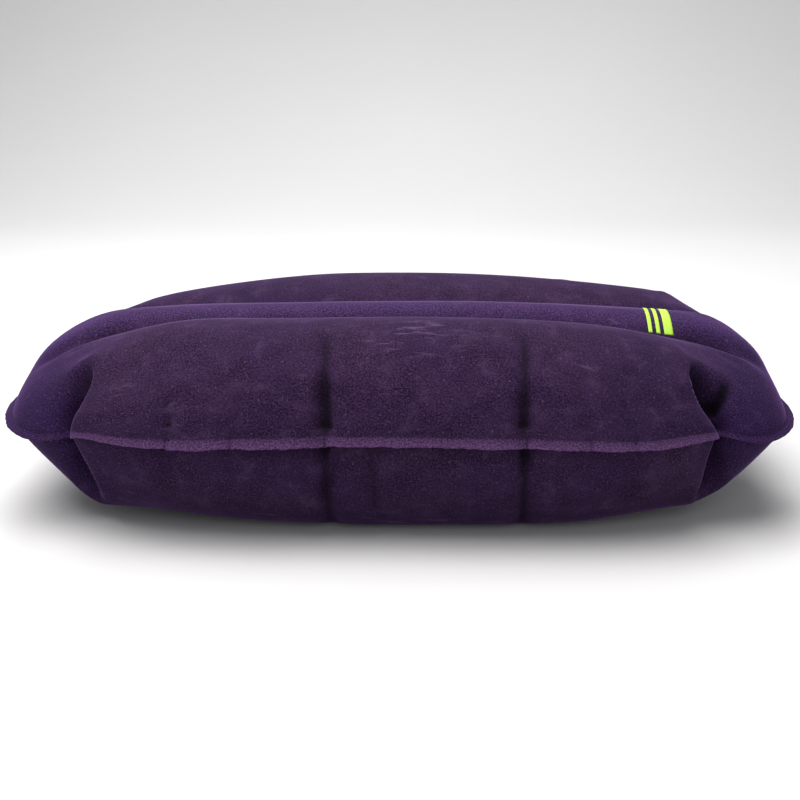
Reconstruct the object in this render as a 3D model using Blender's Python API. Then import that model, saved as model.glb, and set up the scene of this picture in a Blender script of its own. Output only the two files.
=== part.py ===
"""An inflatable wobble cushion of flocked PVC: two sheets welded round the rim, two inner webs, and a valve.

Frame: metres, +Z up, +X along the cushion, +Y to the rear. The origin is on the floor under its centre.
The two webs tie the top to the bottom, so the air forms three lengthwise chambers: a deep front one, a
narrow middle one and a deep rear one. The push-in valve sits on the rear chamber, above the seam.
"""

import math

import bmesh
import bpy
from mathutils import Matrix, Vector

# Chambers, as the section across the cushion shows them. Heights are from the seam plane, and the seam is
# above mid-height: the upper skin rises less than these, and the lower one hangs further.
UPPER_RISE = 0.945
LOWER_DROP = 1.19
CHAMBER_RADIUS = 0.057  # front and rear chambers
GROOVE_HEIGHT = 0.041  # weld bands between the chambers
BAND_WIDTH = 0.007
MIDDLE_HALF_WIDTH = 0.0222
MIDDLE_HEIGHT = 0.0485

# Plan view of the seam: a straight front and rear, and half-ellipse ends.
STRAIGHT_HALF_LENGTH = 0.171
END_BULGE = 0.069
FLANGE_WIDTH = 0.006

SKIN = 0.0008  # film with its flock
GAP = 0.0003  # between pieces that touch
SEAM_HEIGHT = 0.0665  # the lower chambers are pressed flat where they meet the floor

CHAMBER_STEPS = 11
MIDDLE_STEPS = 4
LENGTH_STEPS = 24

# Webs
WEB_HALF_LENGTH = 0.160
WEB_THICKNESS = 0.0005
WEB_TAB = 0.006

# Valve, measured along its own axis from the outer face of the skin (0), outwards positive.
VALVE_X = 0.105
VALVE_ELEVATION = math.radians(30)
VALVE_PLANE = 0.054  # from the rear chamber's centre line to the flat patch
PATCH_RADIUS = 0.0198
HOLE_RADIUS = 0.0134
VALVE_SEGMENTS = 24
RING_OUTER = 0.019
RING_LIP_OUTER = 0.0130
RING_BORE = 0.0122
RING_THICKNESS = 0.001
LIP_PROUD = 0.0004
CUP_DEPTH = 0.0126
MEMBRANE_THICKNESS = 0.0005
STEM_RADIUS = 0.0047
STEM_BORE = 0.0033
STEM_TOP = -0.0016
STEM_BOTTOM = -0.0135
STEM_COLLAR = 0.0056
COLLAR_THICKNESS = 0.0012
CAP_RADIUS = 0.0058
CAP_THICKNESS = 0.0013
SHANK_RADIUS = 0.0031
SHANK_LENGTH = 0.0077
TAB_LENGTH = 0.0044
TAB_WIDTH = 0.0052
STRAP_WIDTH = 0.0026
STRAP_THICKNESS = 0.0006
STRAP_REACH = 0.0112
FLAP_RADIUS = 0.0043
FLAP_THICKNESS = 0.0004
HINGE_TONGUE = 0.0028

# Worked out from the dimensions above
CHAMBER_REACH = math.sqrt(CHAMBER_RADIUS**2 - GROOVE_HEIGHT**2)
CHAMBER_Y = MIDDLE_HALF_WIDTH + BAND_WIDTH + CHAMBER_REACH
HALF_DEPTH = CHAMBER_Y + CHAMBER_RADIUS
BAND_Y = MIDDLE_HALF_WIDTH + BAND_WIDTH / 2
FLANGE_TOP = SKIN + GAP / 2

VIOLET_FLOCK = (0.045, 0.020, 0.075, 1)
CLEAR_VIOLET = (0.09, 0.05, 0.14, 1)
INNER_FILM = (0.16, 0.13, 0.22, 1)


def material(name, colour, roughness):
    made = bpy.data.materials.get(name)
    if made is None:
        made = bpy.data.materials.new(name)
        made.use_nodes = True
        shader = made.node_tree.nodes["Principled BSDF"]
        shader.inputs["Base Color"].default_value = colour
        shader.inputs["Roughness"].default_value = roughness
        shader.inputs["Metallic"].default_value = 0
        made.diffuse_color = colour
    return made


def object_from(name, bm, made_of, smooth_degrees=35):
    """A named, smooth-shaded object from a bmesh, with its material."""
    mesh = bpy.data.meshes.new(name)
    bm.to_mesh(mesh)
    bm.free()
    mesh.shade_smooth()
    mesh.set_sharp_from_angle(angle=math.radians(smooth_degrees))
    mesh.materials.append(made_of)
    obj = bpy.data.objects.new(name, mesh)
    bpy.context.scene.collection.objects.link(obj)
    return obj


def smoothstep(t):
    t = min(max(t, 0), 1)
    return t * t * (3 - 2 * t)


# ---------------------------------------------------------------- skins


def section_rows():
    """(y, height) of the upper skin's outer face across the cushion at mid-length, front to rear."""
    start = math.asin(GROOVE_HEIGHT / CHAMBER_RADIUS)
    front = []
    for i in range(CHAMBER_STEPS + 1):
        angle = math.pi + (start - math.pi) * i / CHAMBER_STEPS
        height = CHAMBER_RADIUS * math.sin(angle)
        front.append((-CHAMBER_Y + CHAMBER_RADIUS * math.cos(angle), height))
    rise = MIDDLE_HEIGHT - GROOVE_HEIGHT
    radius = (MIDDLE_HALF_WIDTH**2 + rise**2) / (2 * rise)
    half_angle = math.asin(MIDDLE_HALF_WIDTH / radius)
    middle = []
    for i in range(MIDDLE_STEPS + 1):
        angle = half_angle * (2 * i / MIDDLE_STEPS - 1)
        height = MIDDLE_HEIGHT - radius * (1 - math.cos(angle))
        middle.append((radius * math.sin(angle), height))
    rear = [(-y, height) for y, height in reversed(front)]
    return front + middle + rear


def half_length(y):
    """Half the length of the seam's outline at this y."""
    return STRAIGHT_HALF_LENGTH + END_BULGE * math.sqrt(max(0, 1 - (y / HALF_DEPTH) ** 2))


def taper(share, y):
    """Height at this share of the half-length, as a part of the height at mid-length.

    The outer chambers are crowned all along; the middle one is level as far as the webs reach.
    """
    share = abs(share)
    if share >= 1:
        return 0.0
    crowned = (1 - share**2.6) ** 0.7
    level_to = (WEB_HALF_LENGTH + GAP) / half_length(y)
    past_web = max(0, (share - level_to) / (1 - level_to))
    level = (1 - past_web**2) ** 0.6
    band_edge = MIDDLE_HALF_WIDTH + BAND_WIDTH
    outward = smoothstep((abs(y) - band_edge) / (CHAMBER_Y - band_edge))
    return outward * crowned + (1 - outward) * level


def skin_point(share, y, height, side):
    """A point on a skin's outer face. side is 1 for the upper skin and -1 for the lower."""
    rise = FLANGE_TOP + height * (UPPER_RISE if side > 0 else LOWER_DROP) * taper(share, y)
    if side < 0:
        rise = min(rise, SEAM_HEIGHT)
    return Vector((share * half_length(y), y, SEAM_HEIGHT + side * rise))


def outward_in_plan(point):
    """Unit normal of the seam's outline, in plan, at a point on it."""
    beyond = abs(point.x) - STRAIGHT_HALF_LENGTH
    if beyond <= 1e-6:
        return Vector((0, math.copysign(1, point.y), 0))
    normal = Vector((math.copysign(beyond / END_BULGE**2, point.x), point.y / HALF_DEPTH**2, 0))
    return normal.normalized()


def add_flange(bm):
    rim = [edge for edge in bm.edges if edge.is_boundary]
    made = bmesh.ops.extrude_edge_only(bm, edges=rim)["geom"]
    for vert in (item for item in made if isinstance(item, bmesh.types.BMVert)):
        vert.co += outward_in_plan(vert.co) * FLANGE_WIDTH


def skin_grid(side):
    """The outer face of a skin, rim included, as an open sheet whose normals point out of the cushion."""
    bm = bmesh.new()
    shares = [math.sin(math.pi * (i / LENGTH_STEPS - 0.5)) for i in range(LENGTH_STEPS + 1)]
    rows = []
    for y, height in section_rows():
        rows.append([bm.verts.new(skin_point(share, y, height, side)) for share in shares])
    for row, behind in zip(rows, rows[1:]):
        for i in range(LENGTH_STEPS):
            corners = [row[i], row[i + 1], behind[i + 1], behind[i]]
            bm.faces.new(corners if side > 0 else corners[::-1])
    add_flange(bm)
    bmesh.ops.recalc_face_normals(bm, faces=bm.faces)
    if sum(face.normal.z * face.calc_area() for face in bm.faces) * side < 0:
        bmesh.ops.reverse_faces(bm, faces=bm.faces)
    return bm


def add_valve_patch(bm, to_valve):
    """Swaps the faces round the valve for a flat ring with the valve's hole in it."""
    from_valve = to_valve.inverted()

    def near(vert):
        local = from_valve @ vert.co
        return math.hypot(local.x, local.y) < PATCH_RADIUS * 1.2 and abs(local.z) < PATCH_RADIUS

    doomed = {face for vert in bm.verts if near(vert) for face in vert.link_faces}
    kept_border = [
        edge
        for face in doomed
        for edge in face.edges
        if any(other not in doomed for other in edge.link_faces)
    ]
    bmesh.ops.delete(bm, geom=list(doomed), context="FACES")
    ring_edges = []
    for radius in (PATCH_RADIUS, HOLE_RADIUS):
        made = bmesh.ops.create_circle(
            bm, cap_ends=False, radius=radius, segments=VALVE_SEGMENTS, matrix=to_valve
        )
        ring = {edge for vert in made["verts"] for edge in vert.link_edges}
        ring_edges.append(sorted(ring, key=lambda edge: edge.index))
    bmesh.ops.bridge_loops(bm, edges=kept_border + ring_edges[0])
    bmesh.ops.bridge_loops(bm, edges=ring_edges[0] + ring_edges[1])
    bmesh.ops.recalc_face_normals(bm, faces=bm.faces)
    if sum(face.normal.z * face.calc_area() for face in bm.faces) < 0:
        bmesh.ops.reverse_faces(bm, faces=bm.faces)


def build_skin(name, side, to_valve=None):
    bm = skin_grid(side)
    if to_valve is not None:
        add_valve_patch(bm, to_valve)
    skin = object_from(name, bm, material("violet_flock", VIOLET_FLOCK, 0.95))
    thickness = skin.modifiers.new("film_and_flock", "SOLIDIFY")
    thickness.thickness = SKIN
    thickness.offset = -1
    thickness.use_even_offset = True
    return skin


# ---------------------------------------------------------------- webs


def build_web(name, side):
    """A channel-section strip whose tabs are welded under the top band and over the bottom band."""
    inside = FLANGE_TOP - SKIN - GAP
    top = GROOVE_HEIGHT * UPPER_RISE + inside
    bottom = -GROOVE_HEIGHT * LOWER_DROP - inside
    outer = BAND_Y + WEB_TAB / 2
    inner = BAND_Y - WEB_TAB / 2
    profile = [
        (outer, top),
        (outer, bottom),
        (inner, bottom),
        (inner, bottom + WEB_THICKNESS),
        (outer - WEB_THICKNESS, bottom + WEB_THICKNESS),
        (outer - WEB_THICKNESS, top - WEB_THICKNESS),
        (inner, top - WEB_THICKNESS),
        (inner, top),
    ]
    bm = bmesh.new()
    corners = [
        bm.verts.new((-WEB_HALF_LENGTH, side * y, SEAM_HEIGHT + z)) for y, z in profile
    ]
    extrude(bm, bm.faces.new(corners), Vector((2 * WEB_HALF_LENGTH, 0, 0)))
    return object_from(name, bm, material("inner_film", INNER_FILM, 0.5))


def extrude(bm, face, along):
    """Makes a solid of a face."""
    made = bmesh.ops.extrude_face_region(bm, geom=[face], use_keep_orig=True)["geom"]
    moved = [item for item in made if isinstance(item, bmesh.types.BMVert)]
    bmesh.ops.translate(bm, verts=moved, vec=along)
    bmesh.ops.recalc_face_normals(bm, faces=bm.faces)


# ---------------------------------------------------------------- valve


def turned(name, profile, made_of, closed=True):
    """A solid of revolution about the valve's axis from (radius, height) points.

    A closed profile is a ring's section. An open one starts and ends on the axis.
    """
    bm = bmesh.new()
    verts = [bm.verts.new((radius, 0, height)) for radius, height in profile]
    pairs = list(zip(verts, verts[1:]))
    if closed:
        pairs.append((verts[-1], verts[0]))
    edges = [bm.edges.new(pair) for pair in pairs]
    bmesh.ops.spin(
        bm,
        geom=verts + edges,
        cent=(0, 0, 0),
        axis=(0, 0, 1),
        angle=2 * math.pi,
        steps=VALVE_SEGMENTS,
        use_merge=True,
    )
    bmesh.ops.remove_doubles(bm, verts=bm.verts, dist=1e-6)
    bmesh.ops.recalc_face_normals(bm, faces=bm.faces)
    return object_from(name, bm, made_of)


def build_ring(soft_pvc):
    """The ring welded to the inside of the skin, with a lip that shows in the hole."""
    top = -SKIN - GAP
    return turned(
        "valve_ring",
        [
            (RING_BORE, top - RING_THICKNESS),
            (RING_OUTER, top - RING_THICKNESS),
            (RING_OUTER, top),
            (RING_LIP_OUTER, top),
            (RING_LIP_OUTER, LIP_PROUD),
            (RING_BORE, LIP_PROUD),
        ],
        soft_pvc,
    )


def build_membrane(soft_pvc):
    """The soft cup between ring and stem, which turns inside out as the stem is pulled."""
    rim = RING_BORE - GAP
    root = STEM_RADIUS + GAP
    floor = -CUP_DEPTH
    top = -SKIN
    bend = 0.0035
    steps = 4
    face = [(rim, top)]
    for i in range(steps + 1):
        angle = math.pi / 2 * i / steps
        inset = bend * (1 - math.cos(angle))
        face.append((rim - inset, floor + bend * (1 - math.sin(angle))))
    face.append((root, floor))
    back = []
    for i, (radius, height) in enumerate(face):
        turn = min(max((i - 1) / steps, 0), 1) * math.pi / 2
        out = MEMBRANE_THICKNESS
        back.append((radius - out * math.cos(turn), height + out * math.sin(turn)))
    return turned("valve_membrane", face + back[::-1], soft_pvc)


def build_stem(soft_pvc):
    return turned(
        "valve_stem",
        [
            (STEM_BORE, STEM_BOTTOM),
            (STEM_RADIUS, STEM_BOTTOM),
            (STEM_RADIUS, STEM_TOP - COLLAR_THICKNESS),
            (STEM_COLLAR, STEM_TOP - COLLAR_THICKNESS),
            (STEM_COLLAR, STEM_TOP),
            (STEM_BORE, STEM_TOP),
        ],
        soft_pvc,
    )


def build_plug(soft_pvc):
    """Cap, shank and pull tab, turned and then joined."""
    low = STEM_TOP + GAP
    high = low + CAP_THICKNESS
    tip = 0.0008
    plug = turned(
        "valve_plug",
        [
            (0, low - SHANK_LENGTH),
            (SHANK_RADIUS - tip, low - SHANK_LENGTH),
            (SHANK_RADIUS, low - SHANK_LENGTH + tip),
            (SHANK_RADIUS, low),
            (CAP_RADIUS, low),
            (CAP_RADIUS, high),
            (0, high),
        ],
        soft_pvc,
        closed=False,
    )
    bm = bmesh.new()
    start = CAP_RADIUS * 0.7
    length = CAP_RADIUS + TAB_LENGTH - start
    centre = (start + length / 2, 0, (low + high) / 2)
    size = (length, TAB_WIDTH, CAP_THICKNESS * 0.7)
    bmesh.ops.create_cube(bm, size=1, matrix=Matrix.LocRotScale(centre, None, size))
    tab = object_from("plug_tab_tool", bm, soft_pvc)
    join_with(plug, tab)
    return plug


def join_with(obj, tool):
    """Unions a helper into obj, and leaves the helper out of the model."""
    union = obj.modifiers.new("join", "BOOLEAN")
    union.operation = "UNION"
    union.object = tool
    tool.hide_render = True
    tool.display_type = "WIRE"


def build_strap(soft_pvc):
    """A hairpin ribbon from the stem's collar, out and back to the cap."""
    low = STEM_TOP - COLLAR_THICKNESS / 2
    high = STEM_TOP + GAP + CAP_THICKNESS / 2
    middle = (low + high) / 2
    outer = (high - low + STRAP_THICKNESS) / 2
    inner = outer - STRAP_THICKNESS
    turn_x = STRAP_REACH - outer
    steps = 6

    def bend(radius):
        angles = [math.pi * (i / steps - 0.5) for i in range(steps + 1)]
        return [(turn_x + radius * math.cos(a), middle + radius * math.sin(a)) for a in angles]

    path = [(STEM_COLLAR + GAP, middle - outer)] + bend(outer)
    path += [(CAP_RADIUS + GAP, middle + outer), (CAP_RADIUS + GAP, middle + inner)]
    path += bend(inner)[::-1] + [(STEM_COLLAR + GAP, middle - inner)]
    bm = bmesh.new()
    corners = [bm.verts.new((-x, -STRAP_WIDTH / 2, z)) for x, z in path]
    extrude(bm, bm.faces.new(corners), Vector((0, STRAP_WIDTH, 0)))
    return object_from("plug_strap", bm, soft_pvc)


def build_flap(soft_pvc):
    """The one-way flap: a disc with a hinge tongue at the stem's inner end. Its origin is on the hinge."""
    hinge_x = -(FLAP_RADIUS + FLAP_THICKNESS)
    bm = bmesh.new()
    tongue_angle = math.asin(HINGE_TONGUE / 2 / FLAP_RADIUS)
    outline = []
    for i in range(VALVE_SEGMENTS + 1):
        sweep = 2 * (math.pi - tongue_angle)
        angle = -math.pi + tongue_angle + sweep * i / VALVE_SEGMENTS
        outline.append((FLAP_RADIUS * math.cos(angle), FLAP_RADIUS * math.sin(angle)))
    outline += [(hinge_x, HINGE_TONGUE / 2), (hinge_x, -HINGE_TONGUE / 2)]
    corners = [bm.verts.new((x - hinge_x, y, 0)) for x, y in outline]
    extrude(bm, bm.faces.new(corners), Vector((0, 0, -FLAP_THICKNESS)))
    flap = object_from("valve_flap", bm, soft_pvc)
    flap.location = (hinge_x, 0, STEM_BOTTOM - GAP)
    return flap


def valve_frame():
    """From the valve's own frame, whose Z is its axis, to the cushion's."""
    across = Vector((1, 0, 0))
    axis = Vector((0, math.cos(VALVE_ELEVATION), math.sin(VALVE_ELEVATION)))
    side = axis.cross(across)
    turn = Matrix((across, side, axis)).transposed().to_4x4()
    seat = Vector((VALVE_X, CHAMBER_Y, SEAM_HEIGHT)) + axis * VALVE_PLANE
    return Matrix.Translation(seat) @ turn


def build_valve(to_valve):
    soft_pvc = material("soft_pvc", CLEAR_VIOLET, 0.35)
    axis_empty = bpy.data.objects.new("valve_axis", None)
    bpy.context.scene.collection.objects.link(axis_empty)
    axis_empty.matrix_world = to_valve
    for build in (build_ring, build_membrane, build_stem, build_plug, build_strap, build_flap):
        build(soft_pvc).parent = axis_empty
    bpy.data.objects["plug_tab_tool"].parent = axis_empty


def main():
    for obj in list(bpy.data.objects):
        bpy.data.objects.remove(obj)
    to_valve = valve_frame()
    build_skin("upper_skin", 1, to_valve)
    build_skin("lower_skin", -1)
    build_web("front_web", -1)
    build_web("rear_web", 1)
    build_valve(to_valve)


main()
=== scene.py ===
"""The wobble cushion as it looks: two flocked skins blown up from their flat cut, and the valve."""

import math

import bpy
import numpy as np
from mathutils import Matrix, Vector


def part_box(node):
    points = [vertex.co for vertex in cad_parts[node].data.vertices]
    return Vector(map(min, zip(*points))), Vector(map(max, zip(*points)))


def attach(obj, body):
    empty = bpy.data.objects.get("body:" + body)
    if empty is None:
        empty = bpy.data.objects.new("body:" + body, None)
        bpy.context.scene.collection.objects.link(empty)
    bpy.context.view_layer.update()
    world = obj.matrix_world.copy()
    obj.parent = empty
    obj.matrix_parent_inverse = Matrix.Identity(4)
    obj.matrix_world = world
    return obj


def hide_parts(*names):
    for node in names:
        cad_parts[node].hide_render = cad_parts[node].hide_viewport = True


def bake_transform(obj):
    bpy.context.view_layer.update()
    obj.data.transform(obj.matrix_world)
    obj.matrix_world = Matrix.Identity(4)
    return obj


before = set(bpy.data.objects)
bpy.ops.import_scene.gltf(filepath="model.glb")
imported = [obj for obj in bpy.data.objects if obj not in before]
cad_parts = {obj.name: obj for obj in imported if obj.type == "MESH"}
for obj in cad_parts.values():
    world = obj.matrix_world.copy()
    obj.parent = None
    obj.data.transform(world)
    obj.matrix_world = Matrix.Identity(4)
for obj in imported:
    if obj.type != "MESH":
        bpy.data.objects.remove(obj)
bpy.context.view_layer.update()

# The flat cut of a skin, in metres. Both skins have the same outline, a superellipse.
CUT_HALF_LENGTH = 0.263
CUT_HALF_DEPTH = 0.165
CUT_POWER = 3.0
CORNER_ANGLE = math.radians(38)  # where the long edges end and the short ones start
FLANGE_WIDTH = 0.006
FLANGE_SHARES = (0.2, 0.45, 0.7, 0.9, 1.0)  # of the flange's width, at its rows of points
RAGGED = ((0.06, 12), (0.025, 4), (0.03, 0.8))  # how far the cut edge strays, and over how many points
RAGGED_POINTS = 688  # round the rim, for which those are given
RAGGED_SEED = 7
FILM = 0.00045  # thickness of the film and its pile

# The webs that hold the two skins together
WEB_Y = 0.0275
WEB_HALF_LENGTH = 0.175
WEB_HEIGHT = 0.084
WEB_TAB = 0.006
WEB_FILM = 0.0004
WEB_INSET = 0.0009  # of the webs' tabs from the grids of the skins
WEB_RIPPLE = (0.0006, 140)  # how far the webs sway between the skins, and radians of that for each metre

# The inflation, in steps of no fixed time. Each level is (columns, rows, steps).
LEVELS = ((57, 31, 700), (113, 61, 600), (225, 121, 300))
PRESSURE = 0.25
STIFFNESS = 1.2e-8
DAMPING = 0.985
SHEAR_SLACK = 1.0  # softens the diagonal links, so that the film can shear a little
FLANGE_PULL = 0.02  # how far the flange goes towards its own hang in a step
FLANGE_DROOP = (15, 50, 1.4, 1.3)  # degrees at the ends, degrees more at the front, sharpness, power
FIRST_CROWN = 0.004  # how far the flat sheets start apart
STRAIGHTEN_EVERY = 50

# Where the skin is creased: (x0, y0, x1, y1, width, strength, skins) on the flat cut. A crease fades to
# its second end. The skins are "t" for the upper one and "b" for the lower one.
CORNER_FOLDS = (  # at both left corners, and at both right ones
    (0.209, 0.13, 0.178, 0.09, 0.006, 6.0),
    (0.211, 0.129, 0.168, 0.08, 0.006, 10.0),
)
FOLD_FADE = 1.4  # above 1, a crease keeps its strength for longer before it fades
FOLD_SHARES = (1.0, 0.4, 0.4)  # of the creases' strength, at each level
DENTS = (
    (-0.041, -0.163, -0.041, -0.060, 0.005, 2.9, "tb"),
    (0.073, -0.160, 0.073, -0.062, 0.0045, 3.0, "tb"),
    (-0.015, -0.163, -0.013, -0.09, 0.004, 2.2, "b"),
    (-0.131, -0.152, -0.129, -0.12, 0.004, 1.8, "tb"),
    (0.108, -0.156, 0.104, -0.10, 0.005, 1.4, "t"),
    (0.133, -0.151, 0.131, -0.10, 0.005, 1.4, "tb"),
    (-0.060, 0.163, -0.060, 0.08, 0.005, 3.0, "tb"),
    (0.050, 0.163, 0.050, 0.08, 0.005, 2.6, "tb"),
    (-0.120, 0.155, -0.118, 0.11, 0.004, 1.8, "b"),
)
PRESSED_DENTS = ((0.206, -0.118, 0.199, -0.058, 0.006, 4.0, "t"),)  # not part of the inflation

# The pleats that run on from the corner folds, on the flat cut: sharp inboard of the line, soft outboard.
PLEAT_LINE = (
    (0.045, 0.070, 0.085, 0.105, 0.122, 0.134),  # |y|
    (0.168, 0.173, 0.177, 0.182, 0.188, 0.195),  # |x|
)
PLEAT_FADE = ((0.040, 0.085, 0.108, 0.118, 0.134), (0.0, 0.35, 1.0, 1.0, 0.0))  # |y|, share of the depth
PLEAT_DEPTHS = (0.004, 0.009)  # at the left end, and at the right one
PLEAT_INNER = 0.005
PLEAT_OUTER = (0.016, 0.014)  # as the depths
PLEAT_UNDER = 0.5  # share of the depth, on the lower skin
PLEAT_REAR = 0.2  # share of the depth, at the back
EASED_DEPTH = 0.002  # from this depth on, the pleats are fully eased
EASING_ROUNDS = 4

# The grooves' ends and the dents, pressed in as the pleats are
GROOVE_DEPTH = 0.0050  # of the grooves where they run on past the webs
GROOVE_WIDTH = 0.008
GROOVE_FADE = ((0.150, 0.185, 0.205, 0.240), (0.0, 1.0, 1.0, 0.0))  # |x|, share of the depth
GROOVE_LINE = ((0.17, 0.22), (0.0275, 0.0340))  # |x|, |y|
DENT_DEPTH = 0.0011  # of a crease of strength 1
DENT_SHADE = 0.0040  # the depth at which the painted shade in a dent is as dark as it gets
DENT_SPREAD = 1.0  # of the crease's width
DENT_ENDS = (0.55, 0.75)  # shares of the crease's length over which its dent dies out
DENT_START = 0.025  # share of it over which the weld lets the dent begin
CREASE_SHADE_DEPTH = 0.0022  # the depth at which the painted shade in a crease is as dark as it gets
FLANGE_SHADE = (0.9, 3.5)  # how dark the painted shade under the flange is on the lower skin, and rows over which that fades

# How the cushion lies: what the even, symmetrical inflation leaves out. Pairs are (left, right).
SEAM_HEIGHT = 0.068
SEAM_LIFT = 0.0019  # of the seam over the middle of the inflation
UPPER_RISE = 0.9407  # height above the seam, multiplied by this
LOWER_DROP = 1.2199  # height below it, multiplied by this
MIDDLE_CROWN = 1.123  # height of the middle chamber, multiplied by this
MIDDLE_REACH = 0.022  # half the depth of the middle chamber
OUT = 0.2  # x at which the ends' taper and slant are whole
END_TAPER = (0.0542, 0.0859)
END_SAG = (0.00844, 0.00931)
SAG_OUT = 0.24  # x at which the sag is whole
END_REACH = (1.0048, 0.9790)
DEPTH_REACH = 1.0184
END_SLANT = 0.0357
SLANT_HEIGHT = 0.055  # height over the seam at which the slant is whole
FLOOR_EASE = 0.0015  # how gently the lower skin meets the floor

# Where the air and the film's stiffness push places out of that even shape: a centre at the right end,
# whose height is from the seam, its reach, and the moves there at the left end and at the right one.
PUSHES = (
    ((0.182, -0.095, 0.035), 0.05, (-0.004, -0.003, -0.0141), (-0.0003, -0.0023, -0.015)),
    ((0.178, 0.08, 0.045), 0.04, (0.0001, 0, -0.0016), (0.0001, 0, -0.0007)),
    ((0.175, -0.12, 0.0), 0.03, (-0.006, 0.0004, 0.007), (0.0051, 0.0016, 0.0078)),
    ((0.17, -0.085, -0.055), 0.04, (-0.0059, 0, 0.0055), (0.0111, 0, 0.0126)),
    ((0.14, -0.06, 0.05), 0.05, (0, 0, 0.0041), (0, 0, -0.0009)),
    ((0.225, 0, 0.0), 0.05, (-0.0004, 0, 0.0035), (-0.012, 0, 0.0066)),
    ((0.215, -0.02, 0.03), 0.032, (-0.0056, 0, -0.0054), (0.0096, 0, -0.0048)),
)

# Where painted highlights lie and where the pile wears, on the flat cut.
RIDGES = ((-0.0620, 0.47, 0.45), (0.0040, 0.0, 0.35))  # painted highlight along the ridges' crests: y at the middle, bend, share
RIDGE_REACH = 0.010
MIDDLE_TOP = -0.004  # y of the middle chamber's top, where painted sheen makes it lighter and more violet
RUBBED_STRETCH = (1.0, 1.9, 0.0)  # makes the rubbed patch shallower than it is wide
RUBBED_PLACE = (0.005, -0.1881, 0.0)  # the patch's middle, stretched

# The pile's colours, in linear light. A pair is the shade between the fibres and the fibres' tips.
PILE = ((0.005, 0.002, 0.008, 1), (0.043, 0.018, 0.062, 1))
BRUSHED_PILE = (0.040, 0.019, 0.056, 1)
COOL_PILE = (0.015, 0.006, 0.034, 1)
MOTTLED_PILE = ((0.010, 0.003, 0.015, 1), (0.062, 0.032, 0.080, 1))
END_PILE = ((0.004, 0.001, 0.012, 1), (0.028, 0.011, 0.078, 1))
# Painted sheen on the middle chamber's top: shade and tips
MIDDLE_SHEEN_COLOURS = ((0.022, 0.010, 0.045, 1), (0.105, 0.054, 0.195, 1))
# Painted highlight on the ridges' crests
RIDGE_HIGHLIGHT_COLOUR = (0.210, 0.140, 0.315, 1)
SCUFFED_PILE = (0.080, 0.050, 0.098, 1)
RUBBED_PILE = (0.085, 0.050, 0.105, 1)
CRUSHED_PILE = ((0.054, 0.023, 0.072, 1), (0.135, 0.068, 0.175, 1))
LINT = (0.13, 0.085, 0.16, 1)
# Painted shade, darkest in creases, dents and under the flange
PAINTED_SHADE_COLOUR = (0.002, 0.001, 0.003, 1)

# The valve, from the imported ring. Heights are along the valve's axis, from the outer face of the skin.
VALVE_ELEVATION = math.radians(30)
RING_MIDDLE = -0.0016
PLANE_REACH = 0.01  # the patch is cut from points no further than this from its plane
HOLE_RADIUS = 0.0134
PATCH_RADIUS = 0.0198
PATCH_EASE = 0.016  # over which the skin comes down to the flat patch
PATCH_PROFILE = (  # radius and height, from the patch's edge to the hole, with the ring's weld between
    (PATCH_RADIUS, 0.0), (0.0193, 0.0), (0.0189, 0.00022), (0.0172, 0.00022), (0.0155, 0.0002),
    (0.0150, 0.00002), (0.0145, 0.0002), (0.0138, 0.0002), (HOLE_RADIUS, 0.0),
)
PLUG_SEAT = -0.0013  # height of the underside of the plug's cap
SHARP_ANGLE = math.radians(40)  # the moulded pieces' edges are sharp from this angle on
SEGMENTS = 96  # round a turned piece

# The printed bars, on the flat cut: x of the left edge and width of each, and their span in y.
PRINT_BARS = ((0.1560, 0.0026), (0.1612, 0.0026), (0.1664, 0.0058))
PRINT_SPAN = (-0.0235, 0.0130)
INK_THICKNESS = 0.00012
INK_CLEARANCE = 0.00008  # over the pile

# The studio: name, place, size, watts and colour of each light.
LIGHTS = (
    ("key", (-0.35, -0.20, 1.6), 1.6, 44, (1.0, 0.98, 0.97)),
    ("fill", (0.3, -1.5, 0.7), 1.2, 5, (0.97, 0.98, 1.0)),
    ("rim", (-0.1, 1.0, 1.3), 1.2, 15, (1.0, 1.0, 1.0)),
)
LIGHTS_AIM = (0, 0, 0.06)
WORLD_STRENGTH = 0.32
FLOOR_COLOURS = ((0.60, 0.60, 0.61, 1), (0.63, 0.63, 0.63, 1))
FLOOR_FRONT = -3.0
FLOOR_HALF_WIDTH = 4.0
FLOOR_DROP = 0.0002  # keeps the floor clear of the cushion's underside
COVE = (1.2, 0.8, 3.0)  # where the floor starts to curve up, the curve's radius, and the wall's height
CAMERA_PLACE = (0.0347, -0.7798, SEAM_HEIGHT + 0.2071)
CAMERA_TURN = (2.866, 15.846, -0.555)  # degrees: to the left, downwards, and about its own axis
CAMERA_LENS = 55.68


# ---- inflation


def along_evenly(points, count):
    """count points at even distances along a line of points."""
    steps = np.hypot(*np.diff(points, axis=1))
    distance = np.concatenate([[0.0], np.cumsum(steps)])
    at = np.linspace(0.0, distance[-1], count)
    return np.stack([np.interp(at, distance, row) for row in points])


def outline(angle):
    """The superellipse at an angle that runs from the right end towards the front."""
    return np.stack([
        CUT_HALF_LENGTH * np.abs(np.cos(angle)) ** (2 / CUT_POWER),
        -CUT_HALF_DEPTH * np.abs(np.sin(angle)) ** (2 / CUT_POWER),
    ])


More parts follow.
